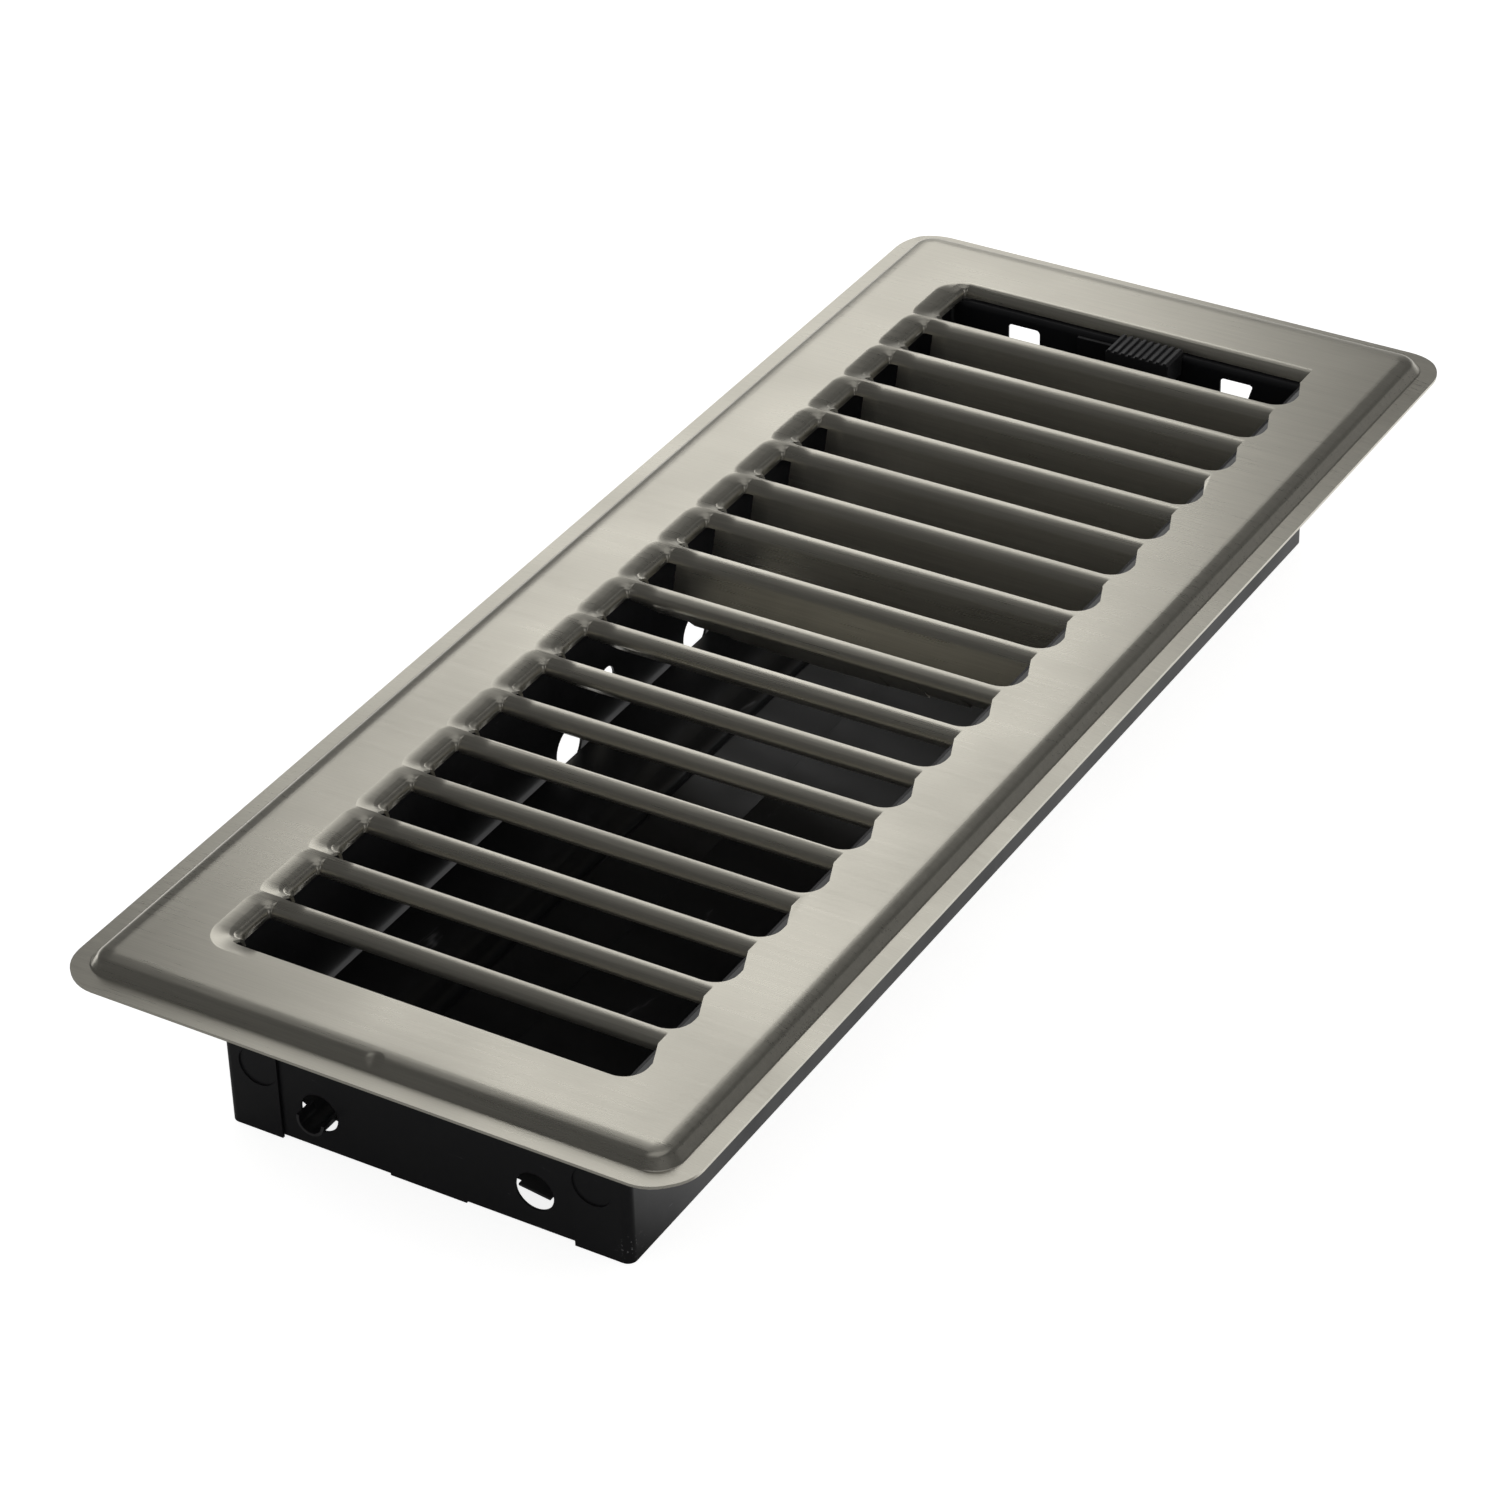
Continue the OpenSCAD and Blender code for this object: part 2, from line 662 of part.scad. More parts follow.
module damper_lever() {
    strip_l = 2 * axis_x + pin_d + 2 * pin_gap + 2 * lever_end;
    tongue_top = knob_top - knob_wall;
    color(black) {
        along_y(lever_y0, lever_y1) difference() {
            union() {
                translate([rest_shift - strip_l / 2, lever_z0]) square([strip_l, lever_z1 - lever_z0]);
                translate([knob_x - riser_left, lever_z0])
                    square([riser_left + riser_right, box_depth - riser_drop - lever_z0]);
                translate([knob_x - riser_tongue_w / 2, lever_z0])
                    square([riser_tongue_w, tongue_top - lever_z0]);
            }
            for (side = [-1, 1]) translate([rest_shift + side * axis_x, axis_z]) {
                pin_slot_r = pin_d / 2 + pin_gap;
                low = crank_r * cos(half_turn);
                translate([-pin_slot_r, low]) square([2 * pin_slot_r, crank_r - low]);
                for (z = [low, crank_r]) translate([0, z]) circle(r = pin_slot_r, $fn = arc_fn);
            }
        }
        for (x = [knob_x - hook_left, knob_x + hook_right]) {
            translate([x - hook_w / 2, lever_y1 - join, hook_z - lever_t / 2])
                cube([hook_w, end_far + lever_gap + lever_t - lever_y1 + join, lever_t]);
            translate([x - hook_w / 2, end_far + lever_gap, hook_z + lever_t / 2 - hook_drop])
                cube([hook_w, lever_t, hook_drop]);
        }
    }
}

module thumb_knob() {
    front = lever_y1 - knob_l;
    rib_pitch = knob_w / rib_count;
    arch_half = knob_w / 2 - knob_wall;
    arch_r = (arch_half * arch_half + knob_arch * knob_arch) / (2 * knob_arch);
    color(plastic) translate([knob_x, 0, 0]) {
        difference() {
            translate([-knob_w / 2, front, knob_floor]) cube([knob_w, knob_l, knob_top - knob_floor]);
            translate([-knob_w / 2 - overrun, lever_y0, knob_floor - overrun])
                cube([knob_w + 2 * overrun, lever_t + overrun,
                      knob_top - knob_wall - knob_floor + overrun]);
            translate([knob_wall - knob_w / 2, front + knob_wall, knob_floor - overrun])
                cube([knob_w - 2 * knob_wall, lever_y0 - front - 2 * knob_wall,
                      knob_top - knob_wall - knob_floor + overrun]);
            translate([0, 0, knob_floor + knob_arch - arch_r])
                along_y(front - overrun, front + knob_wall + overrun) circle(r = arch_r, $fn = arc_fn);
        }
        for (k = [0:rib_count - 1])
            translate([(k + (1 - rib_share) / 2) * rib_pitch - knob_w / 2, front, knob_top - join])
                cube([rib_share * rib_pitch, knob_l, rib_h + join]);
    }
}

faceplate();
left_wall();
right_wall();
near_end_plate();
far_end_plate();
left_blade();
right_blade();
damper_lever();
thumb_knob();
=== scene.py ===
# A louvered floor register with a brushed faceplate over a black damper box.
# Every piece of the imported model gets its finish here: edges eased or folds smoothed, and a
# procedural material that follows the sheet. Lengths are in metres.

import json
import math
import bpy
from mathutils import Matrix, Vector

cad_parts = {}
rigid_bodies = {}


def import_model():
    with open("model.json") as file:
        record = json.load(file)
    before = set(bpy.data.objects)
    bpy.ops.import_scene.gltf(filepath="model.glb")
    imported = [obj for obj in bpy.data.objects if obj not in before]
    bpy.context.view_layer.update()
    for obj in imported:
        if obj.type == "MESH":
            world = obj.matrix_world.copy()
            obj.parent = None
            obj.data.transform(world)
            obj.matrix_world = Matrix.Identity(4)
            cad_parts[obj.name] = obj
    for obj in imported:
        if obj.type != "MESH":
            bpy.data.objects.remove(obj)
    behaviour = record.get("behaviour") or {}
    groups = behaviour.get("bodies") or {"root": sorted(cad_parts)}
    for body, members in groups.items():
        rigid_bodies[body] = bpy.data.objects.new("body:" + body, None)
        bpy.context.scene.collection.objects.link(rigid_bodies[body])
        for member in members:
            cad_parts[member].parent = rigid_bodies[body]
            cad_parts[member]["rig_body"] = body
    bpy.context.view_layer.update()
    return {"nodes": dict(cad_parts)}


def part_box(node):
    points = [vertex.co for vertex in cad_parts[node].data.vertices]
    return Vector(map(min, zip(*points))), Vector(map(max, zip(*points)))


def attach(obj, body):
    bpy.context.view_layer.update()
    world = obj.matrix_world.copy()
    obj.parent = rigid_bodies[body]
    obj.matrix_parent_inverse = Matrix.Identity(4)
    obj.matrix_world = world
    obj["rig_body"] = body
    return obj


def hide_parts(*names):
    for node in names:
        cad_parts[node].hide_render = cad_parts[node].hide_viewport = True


bl_info = {
    "name": "Floor register",
    "version": (1, 0, 0),
    "blender": (4, 5, 0),
    "location": "View3D > Sidebar > Register",
    "description": "Dresses the floor register's sheets and sets its studio stage",
    "category": "Object",
}

import bmesh
import bpy
from mathutils import Vector

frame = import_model()

MM = 0.001

# The openings' rolled left ends, as the faceplate has them
SLOT_PITCH = 16.39 * MM
SLOT_START = -149.15 * MM
SLOT_COUNT = 18
SLOT_LEFT = -45.7 * MM
ROLL_CORNER = 3.2 * MM
ROLL_GAP = 0.9 * MM
ROLL_SOFT = 1.6 * MM

# The faceplate's rim: its width, the sheet, the width up to the panel and the rim's underside
RIM = 3.75 * MM
SHEET = 0.65 * MM
BORDER = 9.4 * MM
PLATE_SEAT = 39.65 * MM


class RegisterFinish(bpy.types.PropertyGroup):
    """Colours and surface sizes of the register's pieces"""

    nickel: bpy.props.FloatVectorProperty(
        name="Nickel", description="Colour of the brushed faceplate",
        default=(0.60, 0.575, 0.50), subtype="COLOR", min=0, max=1)
    nickel_roughness: bpy.props.FloatProperty(
        name="Nickel roughness", description="Middle roughness of the brushed faceplate",
        default=0.3, min=0, max=1)
    grain_width: bpy.props.FloatProperty(
        name="Grain width", description="Width of one brushed line",
        default=0.28 * MM, unit="LENGTH")
    grain_length: bpy.props.FloatProperty(
        name="Grain length", description="Length of one brushed line",
        default=14 * MM, unit="LENGTH")
    dent_place: bpy.props.FloatVectorProperty(
        name="Dent", description="Middle of the small dent in the near bevel's crest",
        default=(1.6 * MM, -166.3 * MM, 43.2 * MM), subtype="TRANSLATION", unit="LENGTH")
    dent_radius: bpy.props.FloatProperty(
        name="Dent radius", description="Radius of the small dent", default=2.4 * MM, unit="LENGTH")
    dent_depth: bpy.props.FloatProperty(
        name="Dent depth", description="Depth of the small dent", default=0.5 * MM, unit="LENGTH")
    rim_lift: bpy.props.FloatProperty(
        name="Rim lift", description="How far the rim's inner side stands over its outer edge",
        default=0.34 * MM, unit="LENGTH")
    draw_in: bpy.props.FloatProperty(
        name="Draw-in", description="Width over which the panel falls to the rolled left edges",
        default=2.9 * MM, unit="LENGTH")
    draw_depth: bpy.props.FloatProperty(
        name="Draw-in depth", description="Fall of the panel at the rolled left edges",
        default=1.05 * MM, unit="LENGTH")
    paint: bpy.props.FloatVectorProperty(
        name="Box paint", description="Colour of the damper box's paint",
        default=(0.0085, 0.0085, 0.0095), subtype="COLOR", min=0, max=1)
    paint_roughness: bpy.props.FloatProperty(
        name="Paint roughness", description="Roughness of the damper box's paint",
        default=0.34, min=0, max=1)
    bare_steel: bpy.props.FloatVectorProperty(
        name="Rubbed steel", description="Colour where the paint is rubbed through",
        default=(0.16, 0.16, 0.165), subtype="COLOR", min=0, max=1)
    worn_place: bpy.props.FloatVectorProperty(
        name="Worn corner", description="Middle of the worn patch low on the near right corner",
        default=(46.2 * MM, -149.6 * MM, 3.5 * MM), subtype="TRANSLATION", unit="LENGTH")
    worn_radius: bpy.props.FloatProperty(
        name="Worn radius", description="Radius of the worn patch", default=4.5 * MM, unit="LENGTH")
    plastic: bpy.props.FloatVectorProperty(
        name="Knob plastic", description="Colour of the thumb knob",
        default=(0.012, 0.012, 0.013), subtype="COLOR", min=0, max=1)
    sheet_ease: bpy.props.FloatProperty(
        name="Sheet edge", description="Width of the eased edges of the box's sheets",
        default=0.12 * MM, unit="LENGTH")
    knob_ease: bpy.props.FloatProperty(
        name="Knob edge", description="Width of the eased edges of the thumb knob",
        default=0.22 * MM, unit="LENGTH")


class RegisterStage(bpy.types.PropertyGroup):
    """Camera, lamp and floor"""

    camera_place: bpy.props.FloatVectorProperty(
        name="Camera place", description="Where the camera stands",
        default=(0.42499, -0.72202, 0.57792), subtype="TRANSLATION", unit="LENGTH")
    camera_turn: bpy.props.FloatVectorProperty(
        name="Camera turn", description="How the camera is turned",
        default=(0.9774, 0.02471, 0.53218), subtype="EULER", unit="ROTATION")
    lens: bpy.props.FloatProperty(
        name="Lens", description="Focal length in millimetres on a 36 mm sensor", default=113.82)
    floor_size: bpy.props.FloatProperty(
        name="Floor", description="Radius of the pale floor", default=9.0, unit="LENGTH")
    floor_colour: bpy.props.FloatVectorProperty(
        name="Floor colour", description="Colour of the pale floor",
        default=(0.55, 0.55, 0.55), subtype="COLOR", min=0, max=1)
    room_light: bpy.props.FloatProperty(
        name="Room light", description="Strength of the even light from all round", default=0.55)
    key_light: bpy.props.FloatProperty(
        name="Key light", description="Brightness of the soft box behind on the left", default=1.62)


def finish():
    """The register's finish, as the scene has it"""
    return bpy.context.scene.register_finish


def stage():
    """The studio's settings, as the scene has them"""
    return bpy.context.scene.register_stage


# Materials

WHITE = (1, 1, 1, 1)
# Noise hardly leaves this span, so a full change is laid over it
NOISE_SPAN = (0.3, 0.7)
# The Mix node's sockets: its factor, two numbers and two colours, and what it gives of each
MIX_FACTOR = 0
MIX_NUMBERS = (2, 3)
MIX_COLOURS = (6, 7)
MIXED_NUMBER = 0
MIXED_COLOUR = 2

# How the draw-in's height falls off, and how far past the roll's corner it ends, in corners
DRAW_POWER = 1.25
DRAW_END = 3

# Brushed nickel
FINE_LINES = 0.65
BROAD_LINES = 0.35
BROAD_WIDTH = 4.5
NICKEL_CLOUDS = 28
LINE_SHADES = (0.87, 1.08)
CLOUD_SHADE = 0.9
CLOUD_COVER = 0.25
LINE_ROUGHNESS = 0.04
CLOUD_ROUGHNESS = (-0.02, 0.03)
LINE_STRENGTH = 0.16
LINE_DEPTH = 0.02 * MM
METALLIC = 0.92
BRUSHING = 0.7
BRUSH_TURN = 0.25

# Baked paint
PEEL = 1400
PATCHES = 60
SCRATCHES = 420
SCRATCH_SHAPE = (0.35, 0.06, 1)
WORN_SPECKS = 1300
WORN_COVER = 2.0
PATCH_SHADE = 1.7
MARK_ROUGHNESS = 0.12
PEEL_STRENGTH = 0.12
BOX_GLOSS = 0.25
BLADE_GLOSS = 0.8

# Knob plastic
PEBBLE = 2600
DUST = 150
DUST_SHADE = 2.4
DUST_COVER = 0.6
PLASTIC_ROUGHNESS = (0.36, 0.52)
PEBBLE_STRENGTH = 0.15
PLASTIC_GLOSS = 0.5
# How deep the paint's peel and the knob's pebble are
PEEL_DEPTH = 0.03 * MM


class Tree:
    """The node tree of a new material or world, filled one node at a time"""

    def __init__(self, owner):
        owner.use_nodes = True
        self.owner = owner
        self.tree = owner.node_tree
        self.tree.nodes.clear()

    def add(self, kind, inputs=None, **settings):
        """A new node, with each input linked to a socket or set to a value"""
        node = self.tree.nodes.new("ShaderNode" + kind)
        for key, value in settings.items():
            setattr(node, key, value)
        for key, value in (inputs or {}).items():
            if isinstance(value, bpy.types.NodeSocket):
                self.tree.links.new(value, node.inputs[key])
            else:
                node.inputs[key].default_value = value
        return node

    def here(self):
        """The point's place on the object's own coordinates. In a world, the way it is seen"""
        return self.add("TexCoord").outputs["Object"]

    def axes(self):
        """That place's X, Y and Z"""
        return self.add("SeparateXYZ", {"Vector": self.here()}).outputs

    def noise(self, scale, detail=2.0, roughness=0.5, size=(1, 1, 1), distortion=0.0):
        """Noise on the object's own coordinates, stretched by size"""
        stretched = self.add("Mapping", {"Vector": self.here(), "Scale": size}).outputs["Vector"]
        return self.add("TexNoise", {
            "Vector": stretched, "Scale": scale, "Detail": detail, "Roughness": roughness,
            "Distortion": distortion}).outputs["Fac"]

    def spread(self, value, low, high, start=0.0, end=1.0, kind="LINEAR"):
        """Low up to start, high from end on"""
        return self.add("MapRange", {
            "Value": value, "From Min": start, "From Max": end, "To Min": low, "To Max": high},
            interpolation_type=kind).outputs["Result"]

    def smooth(self, value, low, high, start, end):
        """As spread, with soft ends"""
        return self.spread(value, low, high, start, end, "SMOOTHSTEP")

    def nearness(self, place, radius):
        """One at place, falling to nothing at radius from it"""
        away = self.add("VectorMath", {0: self.here(), 1: place}, operation="DISTANCE")
        return self.smooth(away.outputs["Value"], 1.0, 0.0, 0.0, radius)

    def maths(self, operation, first, second=0.0):
        """One sum of two numbers, or of the first alone"""
        return self.add("Math", {0: first, 1: second}, operation=operation).outputs[0]

    def mix(self, factor, first, second):
        """A colour between two"""
        inputs = {MIX_FACTOR: factor, MIX_COLOURS[0]: first, MIX_COLOURS[1]: second}
        return self.add("Mix", inputs, data_type="RGBA").outputs[MIXED_COLOUR]

    def choose(self, factor, first, second):
        """A number between two"""
        inputs = {MIX_FACTOR: factor, MIX_NUMBERS[0]: first, MIX_NUMBERS[1]: second}
        return self.add("Mix", inputs, data_type="FLOAT").outputs[MIXED_NUMBER]

    def bump(self, height, strength, distance, **settings):
        """A normal that follows height"""
        inputs = {"Height": height, "Strength": strength, "Distance": distance}
        return self.add("Bump", inputs, **settings).outputs["Normal"]

    def sunk(self, normal, height, distance):
        """A normal that sinks by distance where height is one"""
        inputs = {"Height": height, "Strength": 1.0, "Distance": distance, "Normal": normal}
        return self.add("Bump", inputs, invert=True).outputs["Normal"]

    def surface(self, shader):
        """Ends the tree with a shader and gives its material"""
        self.add("OutputMaterial", {"Surface": shader})
        return self.owner


def shade(colour, factor=1.0):
    """A colour, lighter or darker by factor, with the alpha that a socket wants"""
    return tuple(factor * c for c in colour) + (1.0,)


def drawn_in(t, width):
    """One round each opening's rolled left end, falling to nothing at width from it"""
    here = t.axes()
    row = t.maths("DIVIDE", t.maths("SUBTRACT", here["Y"], SLOT_START), SLOT_PITCH)
    opening = t.maths("MINIMUM", t.maths("FLOOR", row), SLOT_COUNT - 1.0)
    row = t.maths("SUBTRACT", row, t.maths("MAXIMUM", opening, 0.0))
    middle = (SLOT_PITCH - ROLL_GAP) / 2
    beside = t.maths("SUBTRACT", t.maths("MULTIPLY", row, SLOT_PITCH), middle)
    beside = t.maths("SUBTRACT", t.maths("ABSOLUTE", beside), middle - ROLL_CORNER)
    beside = t.maths("MAXIMUM", beside, 0.0)
    before = t.maths("SUBTRACT", SLOT_LEFT + ROLL_CORNER, here["X"])
    before = t.maths("MAXIMUM", before, 0.0)
    away = t.add("CombineXYZ", {"X": before, "Y": beside}).outputs["Vector"]
    away = t.add("VectorMath", {0: away}, operation="LENGTH").outputs["Value"]
    near = t.spread(away, 1.0, 0.0, ROLL_CORNER - ROLL_SOFT, ROLL_CORNER + width)
    fade_start = SLOT_LEFT + ROLL_CORNER
    fade_end = SLOT_LEFT + DRAW_END * ROLL_CORNER
    fade = t.smooth(here["X"], 1.0, 0.0, fade_start, fade_end)
    return t.maths("MULTIPLY", t.maths("POWER", near, DRAW_POWER), fade)


def brushed_nickel(name):
    """Satin nickel, brushed across the width: fine lines along X on every face"""
    f = finish()
    t = Tree(bpy.data.materials.new(name))
    across = (f.grain_width / f.grain_length, 1, 1)
    fine = t.noise(1 / f.grain_width, 3, 0.6, across)
    broad = t.noise(1 / (BROAD_WIDTH * f.grain_width), size=across)
    cloud = t.noise(NICKEL_CLOUDS)
    grain = t.maths("ADD", t.maths("MULTIPLY", fine, FINE_LINES), t.maths("MULTIPLY", broad, BROAD_LINES))
    dark, light = (shade(f.nickel, factor) for factor in LINE_SHADES)
    tone = t.mix(t.spread(grain, 0, 1, *NOISE_SPAN), dark, light)
    tone = t.mix(t.spread(cloud, 0, CLOUD_COVER, 0.35, 0.7), tone, shade(f.nickel, CLOUD_SHADE))
    smoothest = f.nickel_roughness - LINE_ROUGHNESS
    roughest = f.nickel_roughness + LINE_ROUGHNESS
    rough = t.maths("ADD", t.spread(grain, smoothest, roughest, *NOISE_SPAN),
                    t.spread(cloud, *CLOUD_ROUGHNESS, *NOISE_SPAN))
    normal = t.bump(grain, LINE_STRENGTH, LINE_DEPTH)
    normal = t.sunk(normal, t.nearness(f.dent_place, f.dent_radius), f.dent_depth)
    normal = t.sunk(normal, drawn_in(t, f.draw_in), f.draw_depth)
    along = t.add("CombineXYZ", {"X": 1.0, "Y": 0.0, "Z": 0.0})
    shader = t.add("BsdfPrincipled", {
        "Base Color": tone, "Metallic": METALLIC, "Roughness": rough, "Anisotropic": BRUSHING,
        "Anisotropic Rotation": BRUSH_TURN, "Normal": normal, "Tangent": along.outputs["Vector"]})
    return t.surface(shader.outputs["BSDF"])


def painted(name, gloss):
    """Black baked paint: slight orange peel, a few scratches, and one corner rubbed bare"""
    f = finish()
    t = Tree(bpy.data.materials.new(name))
    peel = t.noise(PEEL)
    patch = t.noise(PATCHES, 3, 0.6)
    scratch = t.noise(SCRATCHES, 4, 0.7, SCRATCH_SHAPE, 0.6)
    marks = t.spread(scratch, 0, 1, 0.66, 0.72)
    marks = t.maths("MULTIPLY", marks, t.spread(patch, 0, 1, 0.5, 0.62))
    worn = t.maths("MULTIPLY", t.nearness(f.worn_place, f.worn_radius), WORN_COVER)
    worn = t.maths("MULTIPLY", worn, t.spread(t.noise(WORN_SPECKS, 3, 0.6), 0, 1, 0.6, 0.68))
    marks = t.maths("MINIMUM", t.maths("ADD", marks, worn), 1.0)
    patches = t.spread(patch, 0, 0.5, 0.3, 0.8)
    tone = t.mix(patches, shade(f.paint), shade(f.paint, PATCH_SHADE))
    tone = t.mix(marks, tone, shade(f.bare_steel))
    smoothest = f.paint_roughness - 0.05
    roughest = f.paint_roughness + 0.09
    rough = t.maths("ADD", t.spread(patch, smoothest, roughest, *NOISE_SPAN),
                    t.maths("MULTIPLY", marks, MARK_ROUGHNESS))
    normal = t.bump(t.maths("SUBTRACT", peel, marks), PEEL_STRENGTH, PEEL_DEPTH)
    shader = t.add("BsdfPrincipled", {
        "Base Color": tone, "Roughness": rough, "Normal": normal, "Specular IOR Level": gloss})
    return t.surface(shader.outputs["BSDF"])


def box_paint(name):
    """The duller paint of the walls, end plates and lever"""
    return painted(name, BOX_GLOSS)


def blade_paint(name):
    """The glossier paint of the blades"""
    return painted(name, BLADE_GLOSS)


def knob_plastic(name):
    """Black moulded plastic with a fine pebble and a little dust"""
    f = finish()
    t = Tree(bpy.data.materials.new(name))
    pebble = t.noise(PEBBLE)
    dust = t.noise(DUST, 4, 0.7)
    dusty = t.spread(dust, 0, DUST_COVER, 0.5, 0.75)
    tone = t.mix(dusty, shade(f.plastic), shade(f.plastic, DUST_SHADE))
    rough = t.spread(dust, *PLASTIC_ROUGHNESS, 0.35, 0.7)
    normal = t.bump(pebble, PEBBLE_STRENGTH, PEEL_DEPTH)
    shader = t.add("BsdfPrincipled", {
        "Base Color": tone, "Roughness": rough, "Normal": normal,
        "Specular IOR Level": PLASTIC_GLOSS})
    return t.surface(shader.outputs["BSDF"])


MAKERS = {
    "brushed nickel": brushed_nickel,
    "black box paint": box_paint,
    "black blade paint": blade_paint,
    "black knob plastic": knob_plastic,
}


def material(name):
    """The material of that name, made at its first use"""
    return bpy.data.materials.get(name) or MAKERS[name](name)


# Pieces

# Points this near are one, and faces this flat to each other are one
JOIN = 0.002 * MM
FLAT = math.radians(0.4)
# A sheet's edge is sharp from FOLD on, the faceplate's from CUT on
FOLD = math.radians(31)
CUT = math.radians(46)
SHEET_STEPS = 2
KNOB_STEPS = 3
NORMAL_WEIGHT = 50


def joined(node):
    """A bmesh of a CAD node, its triangles joined and its flat faces whole"""
    bm = bmesh.new()
    bm.from_mesh(frame["nodes"][node].data)
    bmesh.ops.remove_doubles(bm, verts=bm.verts, dist=JOIN)
    bmesh.ops.dissolve_limit(bm, angle_limit=FLAT, verts=bm.verts, edges=bm.edges)
    return bm


def lift_rim(bm, lift):
    """Lets the rim fall to its outer edge, and the bevel follow it"""
    low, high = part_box("faceplate")
    rim_top = PLATE_SEAT + SHEET
    for vert in bm.verts:
        x, y, z = vert.co
        inside = min(x - low[0], high[0] - x, y - low[1], high[1] - y)
        above = (z - rim_top) / (high[2] - rim_top)
        if inside < BORDER and z > PLATE_SEAT - JOIN:
            vert.co.z += lift * min(inside / RIM, 1) * (1 - min(max(above, 0), 1))


def finished(bm, name, node, skin, fold=FOLD):
    """Makes the piece that stands for a CAD node and rides where the node rides"""
    mesh = bpy.data.meshes.new(name)
    bm.to_mesh(mesh)
    bm.free()
    mesh.shade_smooth()
    mesh.set_sharp_from_angle(angle=fold)
    piece = bpy.data.objects.new(name, mesh)
    bpy.context.scene.collection.objects.link(piece)
    normals = piece.modifiers.new("face weighted normals", "WEIGHTED_NORMAL")
    normals.mode = "FACE_AREA"
    normals.weight = NORMAL_WEIGHT
    normals.keep_sharp = True
    mesh.materials.append(skin)
    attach(piece, frame["nodes"][node]["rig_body"])
    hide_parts(node)


def eased(name, node, skin, width, segments=SHEET_STEPS):
    """Makes a CAD node's piece with every sharp edge rounded by width"""
    bm = joined(node)
    sharp = [e for e in bm.edges if e.is_manifold and e.calc_face_angle(0) > FOLD]
    bmesh.ops.bevel(bm, geom=sharp, offset=width, offset_type="OFFSET", affect="EDGES",
                    segments=segments, profile=0.5, material=-1, clamp_overlap=True)
    finished(bm, name, node, skin)


class REGISTER_OT_faceplate(bpy.types.Operator):
    """Makes the brushed faceplate with its louvers"""

    bl_idname = "register.faceplate"
    bl_label = "Faceplate"

    def execute(self, context):
        bm = joined("faceplate")
        lift_rim(bm, finish().rim_lift)
        finished(bm, "brushed_faceplate", "faceplate", material("brushed nickel"), CUT)
        return {"FINISHED"}


class REGISTER_OT_box(bpy.types.Operator):
    """Makes the damper box's two side walls and two end plates"""

    bl_idname = "register.box"
    bl_label = "Damper box"

    def execute(self, context):
        for node in ("left_wall", "right_wall", "near_end_plate", "far_end_plate"):
            eased("painted_" + node, node, material("black box paint"), finish().sheet_ease)
        return {"FINISHED"}


class REGISTER_OT_blades(bpy.types.Operator):
    """Makes the two damper blades"""

    bl_idname = "register.blades"
    bl_label = "Damper blades"

    def execute(self, context):
        for node in ("left_blade", "right_blade"):
            eased("painted_" + node, node, material("black blade paint"), finish().sheet_ease)
        return {"FINISHED"}


class REGISTER_OT_lever(bpy.types.Operator):
    """Makes the damper lever and the thumb knob on it"""

    bl_idname = "register.lever"
    bl_label = "Lever and knob"

    def execute(self, context):
        f = finish()
        eased("painted_damper_lever", "damper_lever", material("black box paint"), f.sheet_ease)
        eased("moulded_thumb_knob", "thumb_knob", material("black knob plastic"), f.knob_ease,
              KNOB_STEPS)
        return {"FINISHED"}


# Stage

FLOOR_SIDES = 96
SENSOR = 36
KEY_PLACE = (-0.675, 1.05, 0.92)
KEY_TARGET = (0, 0, 0.04)
KEY_SIZE = (0.49, 0.7)
# How bright the floor shows to the camera and in the metal, where it starts to from Y on
FLOOR_SEEN = 0.85
FLOOR_MIRRORED = 0.8
FLOOR_START = (-0.15, -0.12)
# What the metal mirrors of the world: a dim base and three bright zones. Each line of a zone has
# an axis of the way looked, its light at the start and at the end, and the start and the end.
DOME_BASE = 0.05
LOW_BEHIND = (
    ("Z", 1.0, 0.0, 0.1, 0.35),
    ("Y", 0.0, 1.0, 0.2, 0.6),
    ("X", 0.5, 0.2, 0.2, 0.6),
)
AHEAD_RIGHT = (
    ("X", 0.0, 0.5, 0.25, 0.6),
    ("Y", 1.0, 0.0, -0.5, -0.1),
    ("Z", 1.0, 0.0, 0.3, 0.6),
)
OVERHEAD = (
    ("Z", 0.0, 0.35, 0.86, 0.93),
    ("X", 0.0, 1.0, -0.35, -0.15),
)


def soft_box(name, place, target, size, brightness):
    """An area lamp at place that faces target. Its brightness is what a mirror would show of it."""
    lamp = bpy.data.lights.new(name, "AREA")
    lamp.shape = "RECTANGLE"
    lamp.size, lamp.size_y = size
    lamp.energy = brightness * math.pi * size[0] * size[1]
    lamp_object = bpy.data.objects.new(name, lamp)
    lamp_object.location = place
    lamp_object.rotation_euler = (Vector(target) - Vector(place)).to_track_quat("-Z", "Y").to_euler()
    bpy.context.scene.collection.objects.link(lamp_object)


def pale_floor(s):
    """The floor keeps a soft shadow, and shows white to the camera and, past the register's near
    end, in the metal"""
    t = Tree(bpy.data.materials.new("pale floor"))
    path = t.add("LightPath").outputs
    beside = t.smooth(t.axes()["Y"], 0.0, FLOOR_MIRRORED, *FLOOR_START)
    seen = t.maths("ADD", t.maths("MULTIPLY", path["Is Camera Ray"], FLOOR_SEEN),
                   t.maths("MULTIPLY", path["Is Glossy Ray"], beside))
    matte = t.add("BsdfDiffuse", {"Color": shade(s.floor_colour)}).outputs["BSDF"]
    glow = t.add("Emission", {"Color": WHITE, "Strength": seen}).outputs["Emission"]
    return t.surface(t.add("AddShader", {0: matte, 1: glow}).outputs["Shader"])


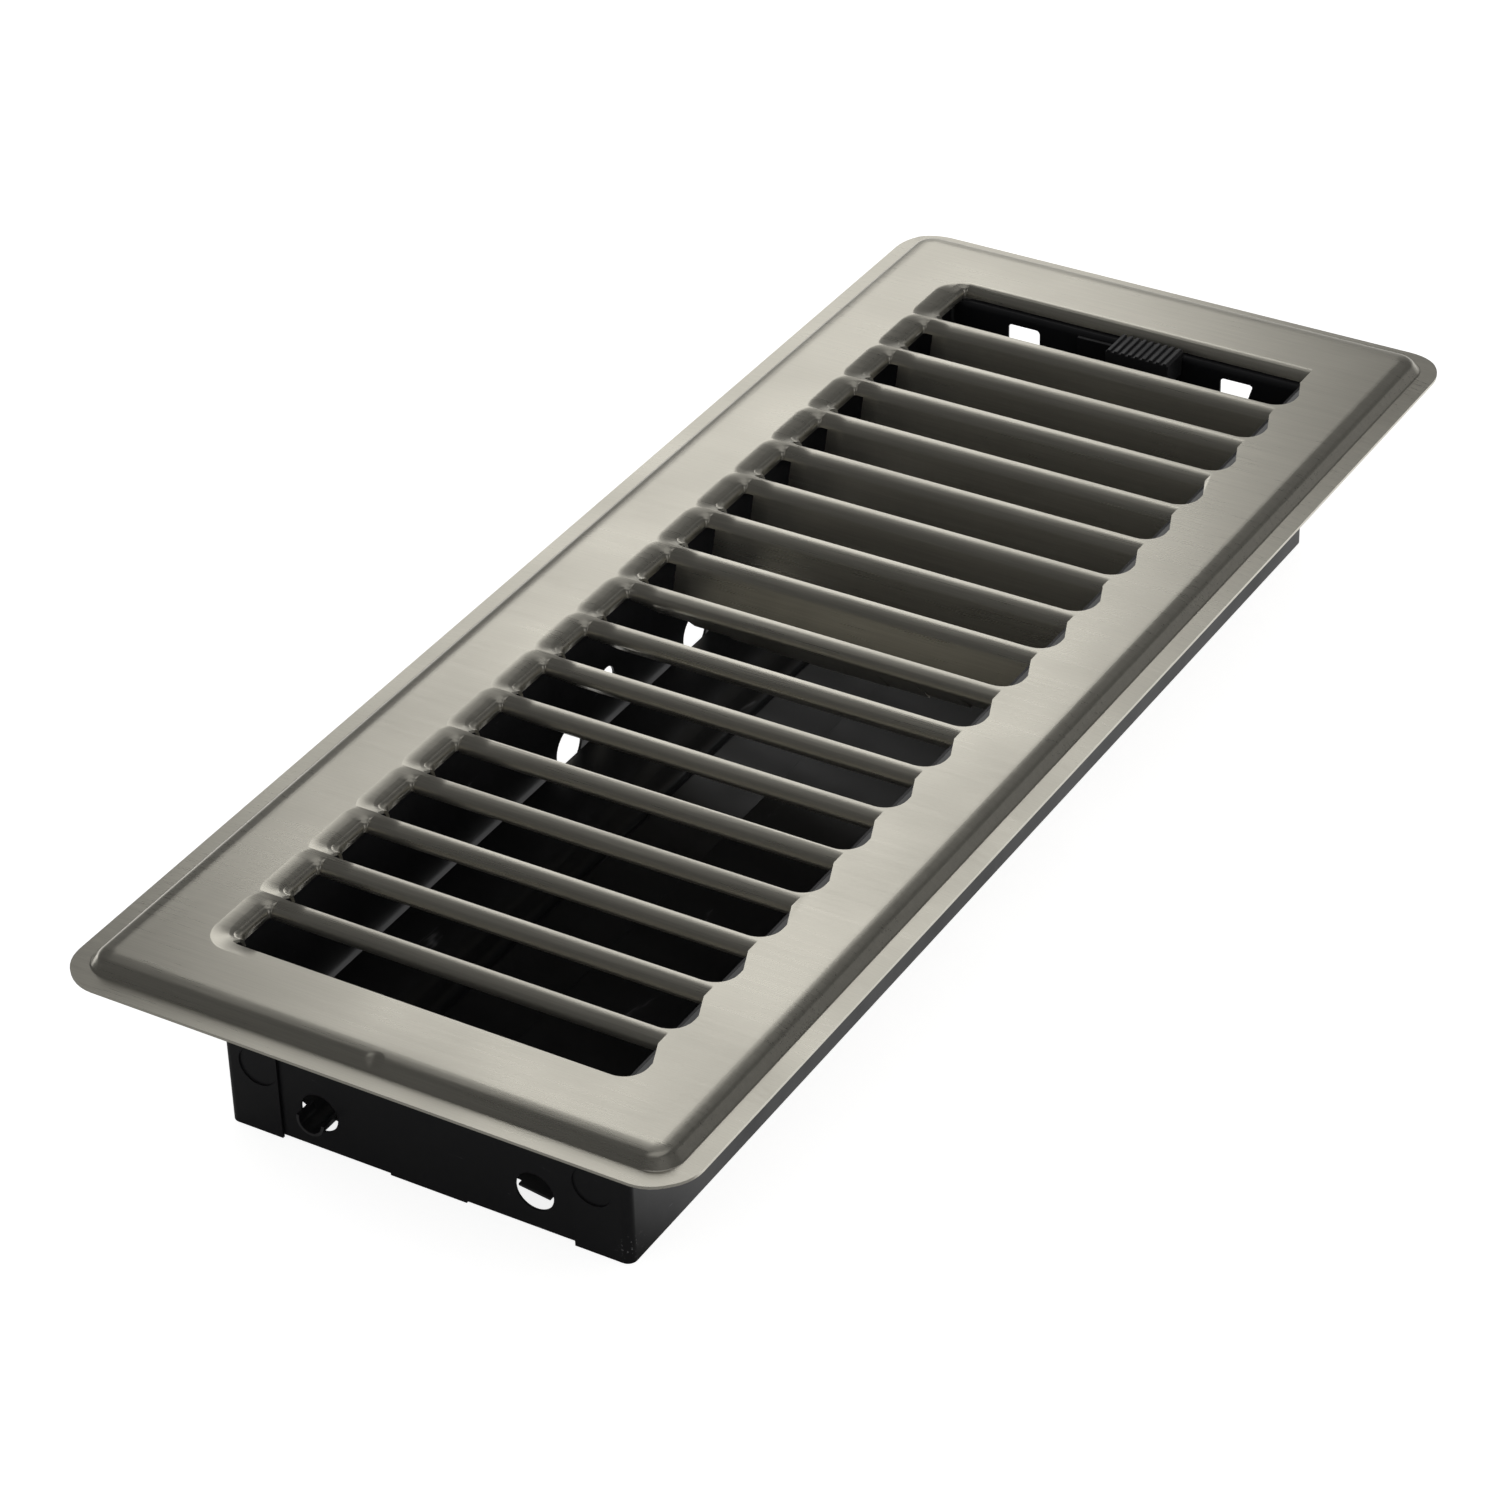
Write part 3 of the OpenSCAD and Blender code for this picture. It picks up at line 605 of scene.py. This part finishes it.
def studio_world(s):
    """White to the camera, an even light on matt surfaces, and a dim dome with bright zones in
    the metal"""
    world = bpy.data.worlds.new("studio")
    bpy.context.scene.world = world
    t = Tree(world)
    path = t.add("LightPath").outputs
    way = t.axes()
    dome = DOME_BASE
    for zone in (LOW_BEHIND, AHEAD_RIGHT, OVERHEAD):
        light = 1.0
        for axis, low, high, start, end in zone:
            light = t.maths("MULTIPLY", light, t.smooth(way[axis], low, high, start, end))
        dome = t.maths("ADD", dome, light)
    metal = t.maths("MAXIMUM", path["Is Glossy Ray"], path["Is Transmission Ray"])
    strength = t.choose(metal, s.room_light, dome)
    shown = t.maths("MAXIMUM", strength, path["Is Camera Ray"])
    back = t.add("Background", {"Color": WHITE, "Strength": shown})
    t.add("OutputWorld", {"Surface": back.outputs["Background"]})


class REGISTER_OT_stage(bpy.types.Operator):
    """Sets the floor, the world, the lamp and the camera"""

    bl_idname = "register.stage"
    bl_label = "Studio stage"

    def execute(self, context):
        s = stage()
        scene = context.scene
        bm = bmesh.new()
        bmesh.ops.create_circle(bm, cap_ends=True, segments=FLOOR_SIDES, radius=s.floor_size)
        mesh = bpy.data.meshes.new("floor")
        bm.to_mesh(mesh)
        bm.free()
        mesh.materials.append(pale_floor(s))
        floor = bpy.data.objects.new("floor", mesh)
        scene.collection.objects.link(floor)
        studio_world(s)
        soft_box("key", KEY_PLACE, KEY_TARGET, KEY_SIZE, s.key_light)
        camera = bpy.data.cameras.new("camera")
        camera.lens = s.lens
        camera.sensor_width = SENSOR
        camera_object = bpy.data.objects.new("camera", camera)
        camera_object.location = s.camera_place
        camera_object.rotation_euler = s.camera_turn
        scene.collection.objects.link(camera_object)
        scene.camera = camera_object
        scene.view_settings.view_transform = "Standard"
        return {"FINISHED"}


class REGISTER_PT_panel(bpy.types.Panel):
    """Lists the register's sizes, colours and steps"""

    bl_idname = "REGISTER_PT_panel"
    bl_label = "Floor register"
    bl_space_type = "VIEW_3D"
    bl_region_type = "UI"
    bl_category = "Register"

    def draw(self, context):
        column = self.layout.column()
        for settings in (context.scene.register_finish, context.scene.register_stage):
            for key in settings.__annotations__:
                column.prop(settings, key)
        for step in STEPS:
            column.operator(step.bl_idname)


STEPS = (REGISTER_OT_stage, REGISTER_OT_faceplate, REGISTER_OT_box, REGISTER_OT_blades,
         REGISTER_OT_lever)
CLASSES = (RegisterFinish, RegisterStage) + STEPS + (REGISTER_PT_panel,)


def register():
    for kind in CLASSES:
        bpy.utils.register_class(kind)
    bpy.types.Scene.register_finish = bpy.props.PointerProperty(type=RegisterFinish)
    bpy.types.Scene.register_stage = bpy.props.PointerProperty(type=RegisterStage)


def unregister():
    del bpy.types.Scene.register_stage
    del bpy.types.Scene.register_finish
    for kind in reversed(CLASSES):
        bpy.utils.unregister_class(kind)


def main():
    register()
    for step in STEPS:
        family, name = step.bl_idname.split(".")
        getattr(getattr(bpy.ops, family), name)()


if __name__ == "__main__":
    main()
